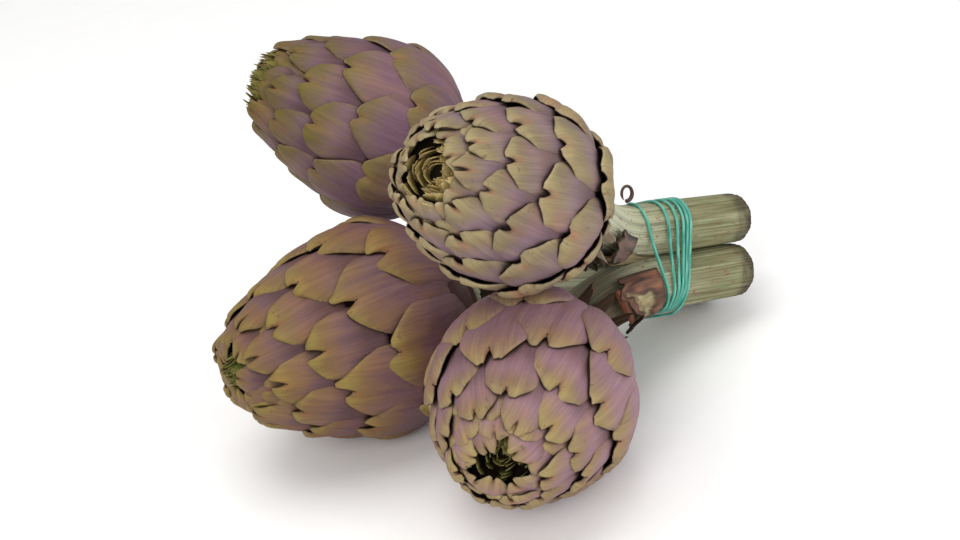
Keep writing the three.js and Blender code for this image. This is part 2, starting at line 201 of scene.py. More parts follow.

# How each head looks. Lengths are in millimetres: its notches, how far its tips stand off and how
# far the collar closes over the mouth. Its lowest bracts have fallen off: "first" is the lowest one
# left. Painted shade darkens it towards the mouth, as much as its mouth shade. Colours run from a
# bract's root to its tip. A scrap is a small dry bract at the foot: its angle (degrees), length, half
# width (radians), lift off the stem and how dark it is; the darkest ones on head B are painted shade.
# A thorn is its length in a notch.
LOOKS = {
    "a": dict(
        seed=11, mouth_shade=0.22, first=13,
        notch=3.2, cleft=0.22, lobes=0.5, tip_width=0.42, stand=(0.1, 0.7),
        closing=-1, ripe=-0.02, thorn=0,
        rim=(0.32, 0.22, 0.13), blush=(0.28, 0.13, 0.045), scrap=(0.10, 0.07, 0.04),
        colours=((0.185, 0.097, 0.134), (0.186, 0.114, 0.092), (0.174, 0.118, 0.051), (0.160, 0.120, 0.025)),
        mouth=dict(count=84, outer=1.16, inner=0.06, low=0.4, high=-1.6, width=3.6, lean=0.94, deep=0.9,
                   colour=(0.17, 0.155, 0.014)),
        scraps=((30, 12, 0.3, 0.6, 0.5), (160, 14, 0.3, 0.6, 0.7), (270, 12, 0.35, 0.6, 0.6)),
    ),
    "b": dict(
        seed=22, mouth_shade=0, first=3,
        notch=4.2, cleft=0.24, lobes=0.5, tip_width=0.42, stand=(0.4, 2.0),
        closing=3.5, ripe=0.06, thorn=0,
        rim=(0.40, 0.32, 0.20), blush=(0.36, 0.14, 0.09), scrap=(0.30, 0.24, 0.17),
        colours=((0.240, 0.153, 0.185), (0.240, 0.170, 0.145), (0.255, 0.197, 0.110), (0.296, 0.240, 0.115)),
        mouth=dict(count=36, outer=1.14, inner=0.24, low=-0.6, high=6.0, width=9.0, lean=0.84, deep=0.35,
                   colour=(0.62, 0.46, 0.16)),
        # B's scraps at darkness 1.0 are dark sheets of painted shade between heads and stems.
        scraps=((306, 15, 0.24, 0.8, 0.0), (288, 17, 0.2, 0.84, 0.1), (284, 18, 0.40, 0.84, 1.0),
                (264, 18, 0.46, 0.82, 1.0), (273, 20, 0.46, 0.78, 1.0), (240, 17, 0.5, 0.74, 1.0),
                (150, 12, 0.4, 0.6, 0.6)),
    ),
    "c": dict(
        seed=33, mouth_shade=0.07, first=15,
        notch=6.0, cleft=0.28, lobes=0.46, tip_width=0.46, stand=(0.0, 0.7),
        closing=11.5, ripe=0.0, thorn=1.2,
        rim=(0.27, 0.18, 0.08), blush=(0.26, 0.10, 0.04), scrap=(0.08, 0.055, 0.03),
        colours=((0.165, 0.085, 0.095), (0.198, 0.104, 0.068), (0.210, 0.127, 0.048), (0.247, 0.180, 0.041)),
        mouth=dict(count=44, outer=0.6, inner=0.06, low=-1.5, high=-1.5, width=4.5, lean=0.7, deep=0.7,
                   colour=(0.12, 0.165, 0.018)),
        scraps=((20, 14, 0.4, 0.6, 0.9), (140, 14, 0.4, 0.6, 0.9), (260, 14, 0.4, 0.6, 0.9)),
    ),
    "d": dict(
        seed=44, mouth_shade=0, first=16,
        notch=4.8, cleft=0.22, lobes=0.52, tip_width=0.40, stand=(0.4, 1.8),
        closing=8.5, ripe=-0.08, thorn=2.6,
        rim=(0.36, 0.27, 0.16), blush=(0.32, 0.15, 0.07), scrap=(0.10, 0.052, 0.03),
        colours=((0.305, 0.172, 0.208), (0.300, 0.178, 0.162), (0.302, 0.203, 0.115), (0.302, 0.230, 0.087)),
        mouth=dict(count=44, outer=1.05, inner=0.1, low=0.3, high=6.0, width=4.6, lean=0.86, deep=0.9,
                   colour=(0.25, 0.25, 0.05)),
        scraps=((92, 19, 0.16, 0.85, 0.8), (110, 23, 0.17, 0.86, 0.85), (131, 22, 0.18, 0.85, 0.7),
                (151, 19, 0.17, 0.80, 0.75), (168, 12, 0.2, 0.7, 0.6)),
    ),
}


# ---- small helpers

def smoothstep(value, low, high):
    share = np.clip((value - low) / (high - low), 0, 1)
    return share * share * (3 - 2 * share)


def fading(value, low, high):
    return 1 - smoothstep(value, low, high)


def lerp(low, high, share):
    return low + (high - low) * share


def signed_power(values, power):
    return np.sign(values) * np.abs(values) ** power


def unit(vectors):
    return vectors / np.linalg.norm(vectors, axis=-1, keepdims=True)


def distances(points):
    """How far each point lies from the first one, along the points."""
    return np.concatenate([[0], np.cumsum(np.linalg.norm(np.diff(points, axis=0), axis=1))])


def bell(value, width):
    return np.exp(-(value / width) ** 2)


def even_angles(sides):
    return np.linspace(0, FULL_TURN, sides, endpoint=False)


def spots(*coordinates):
    """Places from their coordinates, which may be arrays or single values."""
    return np.stack(np.broadcast_arrays(*coordinates), -1)


def interpolated(at, known_at, known):
    """Places or directions, known at some distances, read off at others."""
    return spots(*(np.interp(at, known_at, coordinate) for coordinate in known.T))


def link(thing):
    bpy.context.scene.collection.objects.link(thing)
    return thing


def add_piece(name, work, material, node):
    """Makes one mesh piece in place of a CAD node. What would be under the floor is pressed flat."""
    points, attributes = work.joined()
    points[:, 2] = np.maximum(points[:, 2], 0)
    mesh = bpy.data.meshes.new(name)
    mesh.from_pydata((points * MM).tolist(), [], work.faces)
    mesh.polygons.foreach_set("use_smooth", np.ones(len(mesh.polygons), bool))
    for key, values in attributes.items():
        kind, field = ("FLOAT_VECTOR", "vector") if values.ndim == 2 else ("FLOAT", "value")
        layer = mesh.attributes.new(key, kind, "POINT")
        layer.data.foreach_set(field, values.astype(np.float32).ravel())
    mesh.validate()
    mesh.materials.append(material)
    piece = link(bpy.data.objects.new(name, mesh))
    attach(piece, "root")
    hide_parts(node)


class Patchwork:
    """Collects parts into one mesh. A part's points and attributes may come in grids."""

    def __init__(self):
        self.points = []
        self.faces = []
        self.attributes = {}

    def add(self, points, faces, grain, **attributes):
        """The grain is a place by point; each other attribute is a value by point or for all points."""
        first = sum(map(len, self.points))
        self.faces.extend(tuple(corner + first for corner in face) for face in faces)
        self.points.append(points.reshape(-1, 3))
        self.attributes.setdefault("grain", []).append(grain.reshape(-1, 3))
        for key, values in attributes.items():
            self.attributes.setdefault(key, []).append(np.broadcast_to(values, points.shape[:-1]).ravel())

    def place(self, turn, place):
        """Turns all points about the origin and then moves them."""
        self.points = [points @ np.array(turn.to_matrix()).T + np.array(place) for points in self.points]

    def joined(self):
        attributes = {key: np.concatenate(values) for key, values in self.attributes.items()}
        return np.concatenate(self.points), attributes


# ---- materials

# Colours that all heads share: a scuffed pit, the painted shade in a crevice, and a near black that is
# painted shade inside a head, at bract roots and deep in the mouth, and the own dark of dry thorns and
# scraps.
SCUFF = (0.12, 0.05, 0.02)
CREVICE_SHADE = (0.035, 0.018, 0.009)
SHADE_AND_DRY_DARK = (0.012, 0.009, 0.006)
CREVICE_REACH = 5.5 * MM

STEM_SKIN = [(0.34, (0.15, 0.14, 0.06)), (0.5, (0.24, 0.25, 0.12)), (0.66, (0.36, 0.37, 0.23))]
STEM_BLOTCH = (0.26, 0.22, 0.12)
STEM_PALE = (0.60, 0.61, 0.44)
# Painted shade where a stem leaves its head.
STEM_HEAD_SHADE = (0.075, 0.062, 0.028)
STEM_SPECK = (0.25, 0.10, 0.045)
STEM_CUT = (0.05, 0.034, 0.022)

BAND_RUBBER = [(0.35, (0.01, 0.19, 0.13)), (0.62, (0.05, 0.38, 0.28))]
BAND_DUST = (0.20, 0.56, 0.44)

DRY_SKIN = [(0.34, (0.03, 0.017, 0.012)), (0.48, (0.15, 0.06, 0.033)), (0.62, (0.32, 0.13, 0.062))]
DRY_MAUVE = (0.14, 0.095, 0.085)
DRY_CUT = (0.45, 0.40, 0.20)
DRY_RED = (0.33, 0.105, 0.045)
DRY_DARK = (0.018, 0.013, 0.010)


class Shader:
    """A node material whose colour is painted in layers. A word stands for an attribute of the mesh."""

    def __init__(self, name):
        self.material = bpy.data.materials.new(name)
        self.material.use_nodes = True
        self.tree = self.material.node_tree
        self.surface = self.tree.nodes["Principled BSDF"]
        self.colour = None

    def node(self, kind, inputs=(), **settings):
        node = self.tree.nodes.new(kind)
        for key, value in settings.items():
            setattr(node, key, value)
        for key, value in dict(inputs).items():
            self.set(node.inputs[key], value)
        return node

    def attribute(self, name, output="Fac"):
        return self.node("ShaderNodeAttribute", attribute_name=name).outputs[output]

    def set(self, socket, value):
        if isinstance(value, str):
            value = self.attribute(value)
        if isinstance(value, bpy.types.NodeSocket):
            self.tree.links.new(value, socket)
        elif isinstance(value, tuple) and len(value) == 3 and len(socket.default_value) == 4:
            socket.default_value = (*value, 1)
        else:
            socket.default_value = value

    def noise(self, stretch, detail, roughness=0.55, place=None):
        """Noise from 0 to 1 whose spots are about 1 / stretch long along each axis of the grain."""
        if place is None:
            place = self.attribute("grain", "Vector")
        scaled = self.node("ShaderNodeVectorMath", {0: place, 1: stretch}, operation="MULTIPLY")
        inputs = {"Vector": scaled.outputs[0], "Scale": 1.0, "Detail": detail, "Roughness": roughness}
        return self.node("ShaderNodeTexNoise", inputs).outputs["Fac"]

    def product(self, a, b):
        return self.node("ShaderNodeMath", {0: a, 1: b}, operation="MULTIPLY").outputs[0]

    def total(self, *values):
        result = values[0]
        for value in values[1:]:
            result = self.node("ShaderNodeMath", {0: result, 1: value}, operation="ADD").outputs[0]
        return result

    def spread(self, value, low, high, to_low=0.0, to_high=1.0):
        """The value moved from one range to another and kept inside it."""
        inputs = {"Value": value, "From Min": low, "From Max": high, "To Min": to_low, "To Max": to_high}
        return self.node("ShaderNodeMapRange", inputs).outputs["Result"]

    def crevices(self, reach, most):
        """How much a place is shut in by what stands within reach, from 0 to the most; it masks painted
        shade.
        """
        node = self.node("ShaderNodeAmbientOcclusion", {"Distance": reach}, samples=6, only_local=True)
        return self.spread(node.outputs["AO"], 0.9, 0.3, 0, most)

    def bump(self, height, distance, strength, below=None):
        inputs = {"Height": height, "Distance": distance, "Strength": strength}
        if below is not None:
            inputs["Normal"] = below
        return self.node("ShaderNodeBump", inputs).outputs["Normal"]

    def start(self, value, stops):
        """The first layer, which runs through stops of position and colour."""
        node = self.node("ShaderNodeValToRGB", {"Fac": value})
        elements = node.color_ramp.elements
        while len(elements) < len(stops):
            elements.new(0.5)
        for element, (position, colour) in zip(elements, stops):
            element.position = position
            element.color = (*colour, 1)
        self.colour = node.outputs["Color"]

    def paint(self, share, colour, blend="MIX"):
        inputs = {0: share, 6: self.colour, 7: colour}
        self.colour = self.node("ShaderNodeMix", inputs, data_type="RGBA", blend_type=blend).outputs[2]

    def shade(self, value):
        """Multiplies the colour by a value."""
        grey = self.node("ShaderNodeCombineColor", {"Red": value, "Green": value, "Blue": value})
        self.paint(1.0, grey.outputs[0], "MULTIPLY")

    def finish(self, **inputs):
        for key, value in dict(Base_Color=self.colour, **inputs).items():
            self.set(self.surface.inputs[key.replace("_", " ")], value)
        return self.material


def bract_material(name, look):
    """Violet at the root and green-gold to beige at the tip, with fibres, blotches and pits. Its pale
    rims are partly painted highlight, and it has painted shade in crevices, at roots, in and towards the
    mouth and inside.
    """
    shader = Shader(name)
    fibres = shader.noise((1.3, 0.05, 1), 4, 0.65)
    streaks = shader.noise((0.22, 0.02, 1), 3)
    blotches = shader.noise((0.10, 0.07, 1), 4)
    pits = shader.noise((0.42, 0.35, 1), 2)
    clouds = shader.noise((0.045, 0.04, 1), 2)

    ripe = shader.total(
        "ripe",
        shader.spread(streaks, 0.3, 0.7, -0.12, 0.12),
        shader.spread(blotches, 0.3, 0.7, -0.16, 0.16),
        shader.spread("tone", 0, 1, -0.12, 0.12),
    )
    root, body, late, tip = look["colours"]
    shader.start(ripe, [(0.06, root), (0.36, body), (0.68, late), (1.0, tip)])
    shader.paint(shader.spread(clouds, 0.5, 0.72, 0, 0.3), look["blush"])
    shader.paint("mouth", look["mouth"]["colour"])
    shader.paint(shader.product("blush", shader.spread(pits, 0.35, 0.6, 0.2, 1)), look["blush"])
    # Pale rims along the margins: partly the margins' own paler colour, partly painted highlight.
    rim = shader.product(shader.spread("edge", 1.0, 0.1), shader.spread(blotches, 0.38, 0.6, 0.05, 0.75))
    shader.paint(rim, look["rim"])
    scuff = shader.product(shader.spread(pits, 0.66, 0.72), shader.spread("ripe", 0.3, 0.9, 0.05, 0.6))
    shader.paint(scuff, SCUFF)
    shader.paint("scrap", look["scrap"])
    outside = shader.spread("mouth", 0.2, 0.8, 1, 0.25)
    # Painted shade: crevices between bracts are darkened towards dark brown, less so in the mouth.
    shader.paint(shader.product(shader.crevices(CREVICE_REACH, 0.85), outside), CREVICE_SHADE)
    # Painted shade at bract roots, towards the mouth, deep in the mouth and on the core; on thorns and scraps
    # this is their own dry dark.
    shader.paint("dry", SHADE_AND_DRY_DARK)
    shader.shade(shader.spread(fibres, 0.3, 0.7, 0.82, 1.12))
    tone = shader.spread("tone", 0, 1, -0.1, 0.06)
    shader.shade(shader.total(tone, shader.spread(streaks, 0.3, 0.7, 0.84, 1.1)))

    return shader.finish(
        Roughness=shader.spread(blotches, 0.3, 0.7, 0.5, 0.7),
        Specular_IOR_Level=shader.spread("dry", 0, 0.8, 0.3, 0),
        Normal=shader.bump(blotches, 0.0014, 0.7, shader.bump(fibres, 0.0002, 0.6)),
    )


def stem_material():
    """Pale green skin with fine dark furrows, rusty specks, a brown edge round the cut end and painted shade
    near the head.
    """
    shader = Shader("stem_skin")
    furrows = shader.noise((1.5, 0.010, 1), 3, 0.6)
    fibres = shader.noise((0.5, 0.02, 1), 4, 0.6)
    blotches = shader.noise((0.16, 0.06, 1), 4)
    specks = shader.noise((0.5, 0.20, 1), 3, 0.7)
    stains = shader.noise((0.14, 0.16, 1), 4, 0.7)
    shader.start(fibres, STEM_SKIN)
    shader.paint(shader.spread(blotches, 0.42, 0.62, 0, 0.5), STEM_BLOTCH)
    shader.paint("pale", STEM_PALE)
    # Painted shade: darker near the head.
    shader.paint("dull", STEM_HEAD_SHADE)
    shader.paint(shader.spread(specks, 0.58, 0.66, 0, 0.8), STEM_SPECK)
    brown = shader.total("cut", shader.spread(stains, 0.3, 0.7, -0.2, 0.5))
    shader.paint(shader.product(brown, shader.spread("cut", 0.0, 0.15)), STEM_CUT)
    shader.shade(shader.spread(furrows, 0.34, 0.56, 0.55, 1.08))
    return shader.finish(Roughness=0.7, Specular_IOR_Level=0.3, Normal=shader.bump(furrows, 0.0008, 0.9))


def band_material():
    """Mint green rubber, a little chalky, with fine lines along it."""
    shader = Shader("band_rubber")
    lines = shader.noise((2.4, 0.04, 1), 2)
    dust = shader.noise((0.8, 0.12, 1), 3)
    shader.start(lines, BAND_RUBBER)
    shader.paint(shader.spread(dust, 0.42, 0.62, 0, 0.7), BAND_DUST)
    return shader.finish(Roughness=0.38, Normal=shader.bump(lines, 0.0002, 0.6))


def withered_material():
    """Shrunken brown skin, red where it is thin and olive where it was cut."""
    shader = Shader("withered_skin")
    fibres = shader.noise((0.9, 0.06, 1), 4, 0.65)
    blotches = shader.noise((0.22, 0.12, 1), 4)
    shader.start(blotches, DRY_SKIN)
    shader.paint("mauve", DRY_MAUVE)
    shader.paint(shader.product("cut", shader.spread(fibres, 0.3, 0.6, 0.35, 1)), DRY_CUT)
    shader.paint("red", DRY_RED)
    shader.paint("dark", DRY_DARK)
    shader.shade(shader.spread(fibres, 0.3, 0.7, 0.6, 1.25))
    return shader.finish(Roughness=0.6, Normal=shader.bump(fibres, 0.0008, 0.9))


# ---- sheets and tubes

def sheet_grid(columns, rows):
    """Columns from -1 to 1, closer in the middle, and rows from 0 to 1, closer at the end."""
    across = signed_power(np.linspace(-1, 1, columns), COLUMN_CROWDING)
    along = 1 - (1 - np.linspace(0, 1, rows)) ** ROW_CROWDING
    return np.meshgrid(across, along)


def plain_grid(columns, rows, first):
    """Even columns from the first value to 1, and even rows from 0 to 1."""
    return np.meshgrid(np.linspace(first, 1, columns), np.linspace(0, 1, rows))


def sheet_faces(rows, columns):
    """Faces of a closed sheet: an outer grid, an inner grid and one row of points round its rim."""
    inner = rows * columns
    grid = np.arange(inner).reshape(rows, columns)
    faces = []
    for low in grid[:-1, :-1].ravel().tolist():
        corners = (low, low + 1, low + columns + 1, low + columns)
        faces += [corners, tuple(inner + corner for corner in reversed(corners))]
    rim = np.concatenate([grid[0, :-1], grid[:-1, -1], grid[-1, :0:-1], grid[:0:-1, 0]]).tolist()
    first = 2 * inner
    for index, corner in enumerate(rim):
        after = (index + 1) % len(rim)
        faces.append((corner, first + index, first + after, rim[after]))
        faces.append((first + index, inner + corner, inner + rim[after], first + after))
    return faces, rim


def add_sheet(work, outer, inner, swell, **attributes):
    """Adds a closed sheet between two grids of points, its rim swollen outwards a little."""
    rows, columns = outer.shape[:2]
    faces, rim = sheet_faces(rows, columns)
    outer = outer.reshape(-1, 3)
    inner = inner.reshape(-1, 3)
    middle = (outer[rim] + inner[rim]) / 2
    inward = unit(outer.reshape(rows, columns, 3)[rows // 2, columns // 2] - middle)
    thickness = np.linalg.norm(outer[rim] - inner[rim], axis=1)[:, None]
    points = np.concatenate([outer, inner, middle - inward * thickness * swell])
    for key, values in attributes.items():
        if np.ndim(values) > 0:
            flat = values.reshape(rows * columns, -1)
            attributes[key] = np.concatenate([flat, flat, flat[rim]]).squeeze()
    work.add(points, faces, **attributes)


def add_tube(work, points, ends, **attributes):
    """Adds a tube through rings of points. Its ends are capped, joined or left open."""
    rings, sides = points.shape[:2]
    faces = []
    for ring in range(rings if ends == "joined" else rings - 1):
        here, above = ring * sides, ((ring + 1) % rings) * sides
        for side in range(sides):
            after = (side + 1) % sides
            faces.append((here + side, here + after, above + after, above + side))
    if ends == "capped":
        last = (rings - 1) * sides
        faces += [tuple(reversed(range(sides))), tuple(range(last, last + sides))]
    work.add(points, faces, **attributes)


def round_to(radius, height, angle):
    """Points about the Z axis."""
    return spots(radius * np.cos(angle), radius * np.sin(angle), height)


# ---- heads

def outline_radius(height):
    """A head's radius at a height, both in shares of the largest."""
    below = np.clip((WIDEST_AT - height) / WIDEST_AT, 0, 1)
    above = np.clip((height - WIDEST_AT) / (1 - WIDEST_AT), 0, 1)
    lower = np.maximum(BASE_RADIUS, (1 - below ** LOWER_POWERS[0]) ** LOWER_POWERS[1])
    upper = MOUTH_RADIUS + (1 - MOUTH_RADIUS) * (1 - above ** UPPER_POWERS[0]) ** UPPER_POWERS[1]
    return np.where(height < WIDEST_AT, lower, upper)


class Profile:
    """A head's outline, as (radius, height) by the distance travelled along it."""

    def __init__(self, head):
        height = (1 - np.cos(np.linspace(0, math.pi, PROFILE_STEPS + 1))) / 2
        self.points = spots(head["radius"] * outline_radius(height), head["length"] * height)
        self.distance = distances(self.points)
        self.total = self.distance[-1]
        along = unit(np.gradient(self.points, axis=0))
        self.normals = spots(along[:, 1], -along[:, 0])
        self.end = along[-1]

    def at(self, distance, offset):
        """Points at distances on the outline, moved outwards from it by offsets."""
        beyond = np.maximum(distance - self.total, 0)
        place = interpolated(distance, self.distance, self.points)
        normal = unit(interpolated(distance, self.distance, self.normals))
        moved = place + offset[..., None] * normal + beyond[..., None] * self.end
        return moved[..., 0], moved[..., 1]


def tip_shape(u, length, look, random, notching):
    """How far a bract reaches at each column, in shares of its length: two lobes and a notch."""
    lobes = look["lobes"] * random.uniform(0.85, 1.15)
    notch = look["notch"] * notching / length * random.uniform(0.5, 1.3)
    lean = random.normal(0, 0.014)
    wave = random.uniform(0, FULL_TURN)
    shoulder = SHOULDER_DROP * np.clip((np.abs(u) - lobes) / (1 - lobes), 0, 1) ** 2
    cleft = notch * np.clip(1 - np.abs(u) / look["cleft"], 0, 1) ** 0.9
    ragged = 0.003 * np.sin(u * 9 + wave) + 0.0015 * np.sin(u * 23 + 2 * wave)
    return 1 - shoulder - cleft + lean * np.sin(u * 2.2) + ragged


def bract_relief(bract, length, stand, wave, u, a, across, edge):
    """How far a bract's outer face stands off the outline."""
    plump = bract["fullness"] * min(PLUMPEST, length * PLUMPNESS)
    relief = bract["sunk"] - (1 - a) * length * BRACT_RISE
    relief += plump * (1 - u ** 2) * np.sin(math.pi * np.clip(a, 0, 1) ** 1.3) ** 0.8
    relief += plump * 0.55 * smoothstep(a, 0.66, 0.92) * fading(a, 0.92, 1.03)
    relief += stand * smoothstep(a, 0.6, 1.0)
    relief -= MARGIN_DROP * np.exp(-edge)
    relief -= FOLD_DEPTH * bell(u, 0.14) * smoothstep(a, 0.6, 0.95)
    relief += FINE_WAVE * np.sin(across * 1.3 + wave) * smoothstep(edge, 0.5, 4)
    relief += WIDE_WAVE * np.sin(across * 0.3 + wave) * np.sin(a * 5 + wave)
    return relief


def bract_skin(look, ripening, a, edge, up_the_head):
    """How ripe a bract's skin is and how dark: its margin and tip are ripe, and painted shade darkens its
    root and, by the head's mouth shade, its part towards the mouth.
    """
    ripe = look["ripe"] + 0.9 * smoothstep(ripening, 0.34, 1.08)
    ripe += 0.1 * np.exp(-edge / 3) * smoothstep(a, 0.4, 0.8)
    ripe += 0.15 * smoothstep(up_the_head, 0.65, 0.95)
    ripe -= 0.24 * fading(up_the_head, 0.12, 0.5)
    # Painted shade: darker at the root, where other bracts cover it, and towards the mouth.
    dry = 0.35 * fading(a, 0.2, 0.6)
    dry += look["mouth_shade"] * smoothstep(up_the_head, 0.5, 0.9)
    return dict(ripe=np.clip(ripe, 0, 1), dry=dry)


def add_spiral_bract(work, profile, look, random, bract):
    """One bract on the outline. Lower ones lie over upper ones; the sunk ones lie under them."""
    root = max(0.5, bract["tip"] - bract["length"])
    length = bract["tip"] - root
    twist = random.normal(0, 0.03)
    stand = bract["fullness"] * random.uniform(*look["stand"])
    wave = random.uniform(0, FULL_TURN)
    seed = random.uniform(0, 1000)

    # Across a bract u runs from -1 to 1. Along it a runs from 0 at its root to about 1 at its tip.
    u, v = sheet_grid(*bract["grid"])
    reach = tip_shape(u, length, look, random, bract["notching"])
    a = v * reach
    ripening = 1 - (1 - a) * length / bract["ripening"]
    late = np.clip((ripening - 0.5) / 0.5, 0, 1)
    swelling = np.sin(np.clip(a / 0.55, 0, 1) * math.pi / 2)
    width = 0.7 + 0.3 * swelling - look["tip_width"] * late ** 2
    distance = root + a * length
    mean_radius, _ = profile.at(distance, np.zeros_like(distance))
    span = np.maximum(bract["half_angle"] * mean_radius, LEAST_HALF_WIDTH)
    across = u * width * span
    edge = np.minimum((1 - np.abs(u)) * width * span, (1 - v) * reach * length)

    relief = bract_relief(bract, length, stand, wave, u, a, across, edge)
    thickness = lerp(MARGIN_THICKNESS, BRACT_THICKNESS, smoothstep(edge, 0, 5))
    theta = bract["angle"] + across / np.maximum(mean_radius, 3) + twist * (a - 0.4)
    outer = round_to(*profile.at(distance, relief), theta)
    inner = round_to(*profile.at(distance, relief - thickness), theta)
    by_the_notch = bell(u, 0.22) * bell((reach - a) * length, 4.5)
    add_sheet(
        work, outer, inner, BRACT_RIM,
        grain=spots(across, distance, seed),
        edge=edge, blush=0.7 * by_the_notch, tone=random.uniform(), mouth=0, scrap=0,
        **bract_skin(look, ripening, a, edge, distance / profile.total),
    )
    if look["thorn"] > 0 and bract["fullness"] == 1:
        middle = u.shape[1] // 2
        add_thorn(work, outer[-1, middle], outer[-2, middle], look["thorn"] * random.uniform(0.5, 1.2))


# The attributes of a bract's skin where nothing marks it.
PLAIN_SKIN = dict(ripe=0.2, edge=9, blush=0, tone=0.5, mouth=0, scrap=0)


def add_thorn(work, foot, behind, length):
    """A small dry spine in a bract's notch."""
    forward = unit(foot - behind)
    side = unit(np.cross(forward, UP))
    up = np.cross(side, forward)
    angles = even_angles(THORN_SIDES)[:, None]
    ring = foot - THORN_SINK * forward + THORN_RADIUS * (np.cos(angles) * side + np.sin(angles) * up)
    points = np.concatenate([ring, [foot + length * forward]])
    faces = [(corner, (corner + 1) % THORN_SIDES, THORN_SIDES) for corner in range(THORN_SIDES)]
    faces.append(tuple(reversed(range(THORN_SIDES))))
    work.add(points, faces, grain=points, dry=0.75, **PLAIN_SKIN)


def add_outer_bracts(work, profile, head, look, random):
    for index in range(look["first"], BRACTS):
        share = index / (BRACTS - 1)
        spiral = (1 + CROWDING) * share - CROWDING * share * share
        tip = lerp(FIRST_TIP, profile.total - 0.5, spiral)
        length = head["length"] * lerp(*BRACT_LENGTHS, tip / profile.total)
        bract = dict(
            tip=tip,
            length=max(length, tip - 1) if index < look["first"] + LOWEST_ROW else length,
            ripening=length,
            angle=head["hand"] * index * GOLDEN_ANGLE + random.normal(0, 0.02),
            half_angle=BRACT_HALF_ANGLE * random.uniform(0.95, 1.07),
            sunk=0, fullness=1, notching=1, grid=OUTER_GRID,
        )
        add_spiral_bract(work, profile, look, random, bract)


def add_collar_bracts(work, profile, head, look, random):
    for index in range(COLLAR_BRACTS):
        share = index / (COLLAR_BRACTS - 1)
        length = head["length"] * lerp(*COLLAR_LENGTHS, share)
        bract = dict(
            tip=profile.total + lerp(-COLLAR_REACH, look["closing"], share ** 0.8),
            length=length,
            ripening=length,
            angle=head["hand"] * (BRACTS + index) * GOLDEN_ANGLE + random.normal(0, 0.05),
            half_angle=lerp(0.45, 0.6, share),
            sunk=-lerp(2.4, 1.0, share) + random.normal(0, 0.3),
            fullness=0.5, notching=0.6, grid=COLLAR_GRID,
        )
        add_spiral_bract(work, profile, look, random, bract)


def add_mouth_bract(work, profile, head, look, index, random):
    """One small bract standing inside the mouth. They go from its rim to its middle."""
    mouth = look["mouth"]
    share = index / (mouth["count"] - 1)
    radius = lerp(mouth["outer"], mouth["inner"], share) * profile.points[-1, 0]
    foot = np.array([radius + 1, head["length"] - MOUTH_DEPTH - 2])
    drop = lerp(mouth["low"], mouth["high"], share) + random.normal(0, 1.0)
    tip = np.array([radius * mouth["lean"] + random.normal(0, 0.3), head["length"] - drop])
    angle = (BRACTS + index) * GOLDEN_ANGLE + random.normal(0, 0.3)
    half_angle = min(1.1, mouth["width"] / 2 / radius * random.uniform(0.7, 1.2))

    u, v = sheet_grid(*MOUTH_GRID)
    point = 1 - 0.3 * np.abs(u) ** 1.5 - 0.08 * np.exp(-(np.abs(u) / 0.25) ** 1.3)
    point += 0.05 * np.sin(u * 8 + index) + 0.03 * np.sin(u * 21 + index)
    a = v * point
    width = 0.75 + 0.25 * np.sin(a * math.pi) - 0.35 * a ** 3
    theta = angle + u * width * half_angle + random.normal(0, 0.12) * a
    radii = lerp(foot[0], tip[0], a) + 0.9 * np.sin(a * math.pi)
    heights = lerp(foot[1], tip[1], a)
    length = tip[1] - foot[1]
    edge = np.minimum((1 - np.abs(u)) * half_angle * radius, (1 - v) * length)
    thickness = lerp(0.3, 0.7, smoothstep(edge, 0, 2))
    # Painted shade: a mouth bract darkens towards its foot, deep in the mouth.
    add_sheet(
        work, round_to(radii, heights, theta), round_to(radii - thickness, heights, theta), THIN_RIM,
        grain=spots(u * half_angle * radius, a * length, 50 * index),
        ripe=np.clip(0.7 + 0.3 * a, 0, 1), edge=edge + 0.35, blush=0,
        tone=random.uniform(), mouth=lerp(0.75, 1.0, share) * (1 - 0.4 * smoothstep(a, 0.8, 1.0)),
        dry=mouth["deep"] * fading(a, 0.3, 0.9), scrap=0,
    )


def add_base_scrap(work, head, scrap, random):
    """A small dry bract at the head's foot, which stands off over its stem."""
    turned, length, half_angle, lift, dark = scrap
    wave = random.uniform(0, FULL_TURN)
    u, v = sheet_grid(*MOUTH_GRID)
    a = v * (1 - 0.45 * np.abs(u) ** 1.4 + 0.07 * np.sin(u * 7 + wave) + 0.04 * np.sin(u * 17 + wave))
    radii = head["radius"] * BASE_RADIUS + 0.6 + a * length * lift + 0.9 * np.cos(u * 2 + wave) * a
    heights = -1.5 - a * length * math.sqrt(1 - lift * lift) - 1.4 * np.sin(a * 4 + wave) * a
    theta = math.radians(turned) + u * half_angle * (1 - 0.45 * a)
    # A scrap's darkness is its own dry colour; on B's darkest scraps it is painted shade.
    add_sheet(
        work, round_to(radii, heights - SCRAP_THICKNESS, theta), round_to(radii, heights, theta), THIN_RIM,
        grain=spots(u * half_angle * radii, a * length, 31 * wave),
        ripe=0.8 * a, edge=(1 - np.abs(u)) * 3, blush=0, tone=random.uniform(),
        mouth=0, dry=dark * (1 - 0.3 * np.sin(u * 5 + 3 * a + wave) ** 2), scrap=0.9,
    )


def add_core(work, profile, head):
    """What shows between bracts: skin at the foot, half in painted shade, then the inside, painted near black
    as shade, raised in the mouth.
    """
    shares = np.linspace(0.03, 0.95, CORE_RINGS)
    inside = smoothstep(shares, 0.2, 0.42)
    radii, heights = profile.at(shares * profile.total, -CORE_DEPTH * (0.6 + 0.4 * inside))
    floor = head["length"] - MOUTH_DEPTH
    radii = np.concatenate([[0, profile.points[0, 0]], radii, [radii[-1] * 0.55, 0]])
    heights = np.concatenate([[0, 0], heights, [floor + 1, floor + 5]])
    # Painted shade: half dark at the foot, near black inside.
    dry = np.concatenate([[0.5, 0.5], lerp(0.5, 1, inside), [1, 1]])
    angles = even_angles(CORE_SIDES)
    points = round_to(radii[:, None], heights[:, None], angles)
    add_tube(work, points, "open", grain=points, dry=dry[:, None], **PLAIN_SKIN)


